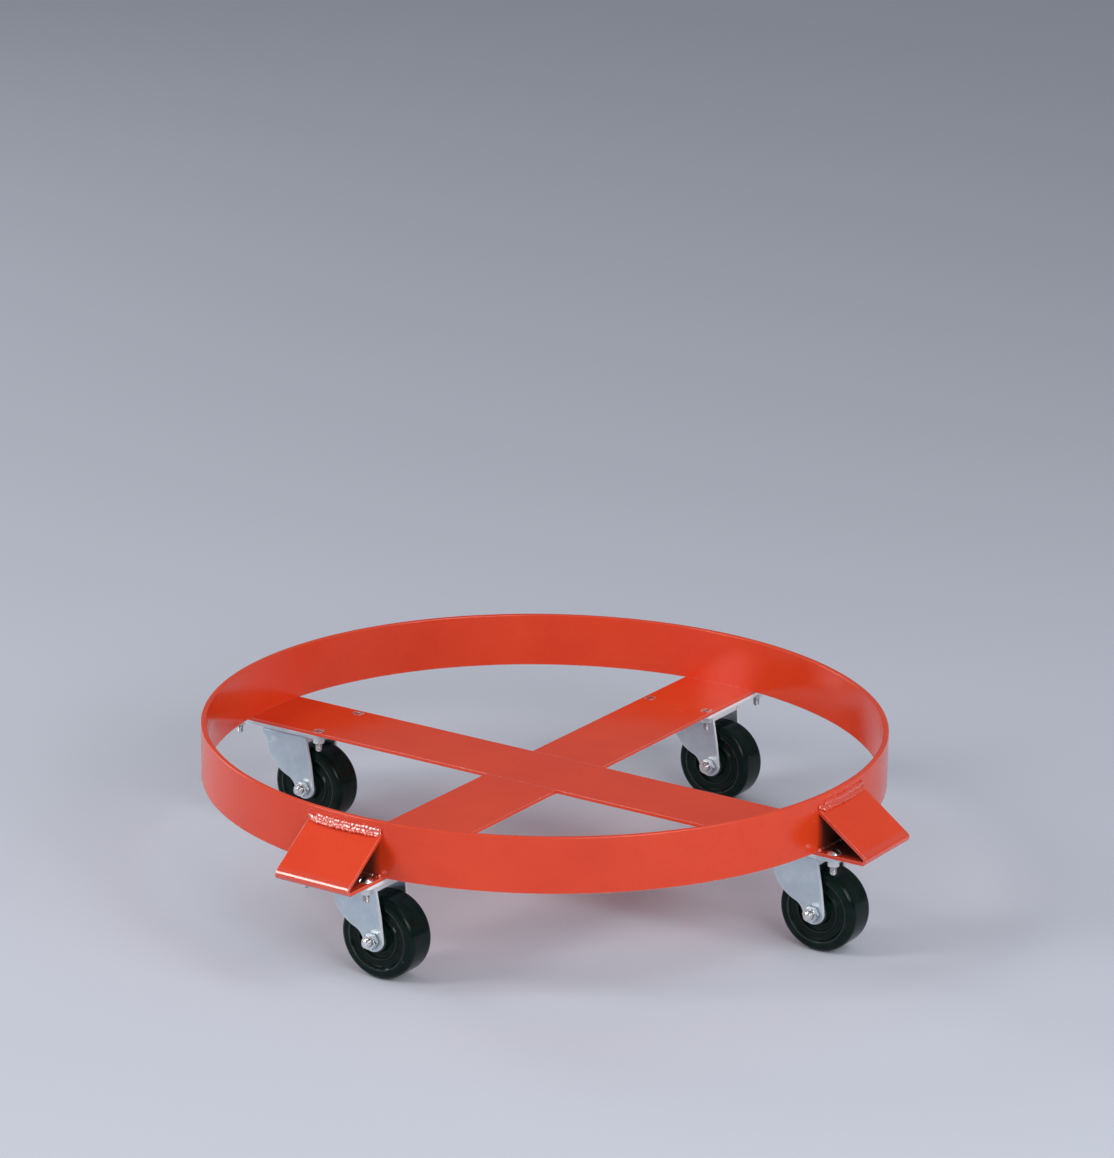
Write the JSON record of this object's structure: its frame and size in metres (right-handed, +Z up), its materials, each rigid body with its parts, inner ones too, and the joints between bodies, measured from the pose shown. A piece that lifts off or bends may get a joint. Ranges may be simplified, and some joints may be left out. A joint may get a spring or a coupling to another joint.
{
  "type": "drum trolley",
  "caption": "Round trolley for a drum: a rolled steel band on crossing flat bars with folded gusset ends, carried by swivel casters with solid wheels.",
  "frame": {"origin": "on the floor under the middle of the band", "axes": "+Z up; +X along the long bar, the way all four wheels trail at rest; +Y along the half bars"},
  "size_m": [0.7206, 0.7206, 0.154],
  "materials": {
    "frame_paint": "gloss",
    "zinc_sheet": "satin",
    "bright_zinc": "gloss",
    "ball_steel": "polished",
    "wheel_rubber": "satin",
    "bush_nylon": "matte"
  },
  "bodies": {
    "frame": {"ring_band": "frame_paint", "band_seam_weld": "frame_paint", "cross_bar_long": "frame_paint", "cross_bar_front": "frame_paint", "cross_bar_back": "frame_paint", "gusset_welds": "frame_paint", "band_root_welds": "frame_paint", "centre_welds": "frame_paint", "caster_front_top_plate": "zinc_sheet", "caster_front_mount_bolts": "bright_zinc", "caster_front_mount_nuts": "bright_zinc", "caster_front_king_pin": "bright_zinc", "caster_front_lower_race": "zinc_sheet", "caster_right_top_plate": "zinc_sheet", "caster_right_mount_bolts": "bright_zinc", "caster_right_mount_nuts": "bright_zinc", "caster_right_king_pin": "bright_zinc", "caster_right_lower_race": "zinc_sheet", "caster_back_top_plate": "zinc_sheet", "caster_back_mount_bolts": "bright_zinc", "caster_back_mount_nuts": "bright_zinc", "caster_back_king_pin": "bright_zinc", "caster_back_lower_race": "zinc_sheet", "caster_left_top_plate": "zinc_sheet", "caster_left_mount_bolts": "bright_zinc", "caster_left_mount_nuts": "bright_zinc", "caster_left_king_pin": "bright_zinc", "caster_left_lower_race": "zinc_sheet"},
    "caster_front_swivel": {"caster_front_fork": "zinc_sheet", "caster_front_upper_balls": "ball_steel", "caster_front_lower_balls": "ball_steel", "caster_front_axle_bolt": "bright_zinc", "caster_front_axle_nut": "bright_zinc", "caster_front_axle_sleeve": "bright_zinc"},
    "caster_front_roller": {"caster_front_wheel": "wheel_rubber", "caster_front_wheel_bush": "bush_nylon"},
    "caster_right_swivel": {"caster_right_fork": "zinc_sheet", "caster_right_upper_balls": "ball_steel", "caster_right_lower_balls": "ball_steel", "caster_right_axle_bolt": "bright_zinc", "caster_right_axle_nut": "bright_zinc", "caster_right_axle_sleeve": "bright_zinc"},
    "caster_right_roller": {"caster_right_wheel": "wheel_rubber", "caster_right_wheel_bush": "bush_nylon"},
    "caster_back_swivel": {"caster_back_fork": "zinc_sheet", "caster_back_upper_balls": "ball_steel", "caster_back_lower_balls": "ball_steel", "caster_back_axle_bolt": "bright_zinc", "caster_back_axle_nut": "bright_zinc", "caster_back_axle_sleeve": "bright_zinc"},
    "caster_back_roller": {"caster_back_wheel": "wheel_rubber", "caster_back_wheel_bush": "bush_nylon"},
    "caster_left_swivel": {"caster_left_fork": "zinc_sheet", "caster_left_upper_balls": "ball_steel", "caster_left_lower_balls": "ball_steel", "caster_left_axle_bolt": "bright_zinc", "caster_left_axle_nut": "bright_zinc", "caster_left_axle_sleeve": "bright_zinc"},
    "caster_left_roller": {"caster_left_wheel": "wheel_rubber", "caster_left_wheel_bush": "bush_nylon"}
  },
  "joints": [
    {"name": "swivel_front", "type": "hinge", "parent": "frame", "child": "caster_front_swivel", "pos_m": [0, -0.278, 0.0918], "axis": [0, 0, 1], "continuous": true},
    {"name": "roll_front", "type": "hinge", "parent": "caster_front_swivel", "child": "caster_front_roller", "pos_m": [0.021, -0.278, 0.0381], "axis": [0, 1, 0], "continuous": true},
    {"name": "swivel_right", "type": "hinge", "parent": "frame", "child": "caster_right_swivel", "pos_m": [0.278, 0, 0.0918], "axis": [0, 0, 1], "continuous": true},
    {"name": "roll_right", "type": "hinge", "parent": "caster_right_swivel", "child": "caster_right_roller", "pos_m": [0.299, 0, 0.0381], "axis": [0, 1, 0], "continuous": true},
    {"name": "swivel_back", "type": "hinge", "parent": "frame", "child": "caster_back_swivel", "pos_m": [0, 0.278, 0.0918], "axis": [0, 0, 1], "continuous": true},
    {"name": "roll_back", "type": "hinge", "parent": "caster_back_swivel", "child": "caster_back_roller", "pos_m": [0.021, 0.278, 0.0381], "axis": [0, 1, 0], "continuous": true},
    {"name": "swivel_left", "type": "hinge", "parent": "frame", "child": "caster_left_swivel", "pos_m": [-0.278, 0, 0.0918], "axis": [0, 0, 1], "continuous": true},
    {"name": "roll_left", "type": "hinge", "parent": "caster_left_swivel", "child": "caster_left_roller", "pos_m": [-0.257, 0, 0.0381], "axis": [0, 1, 0], "continuous": true}
  ]
}
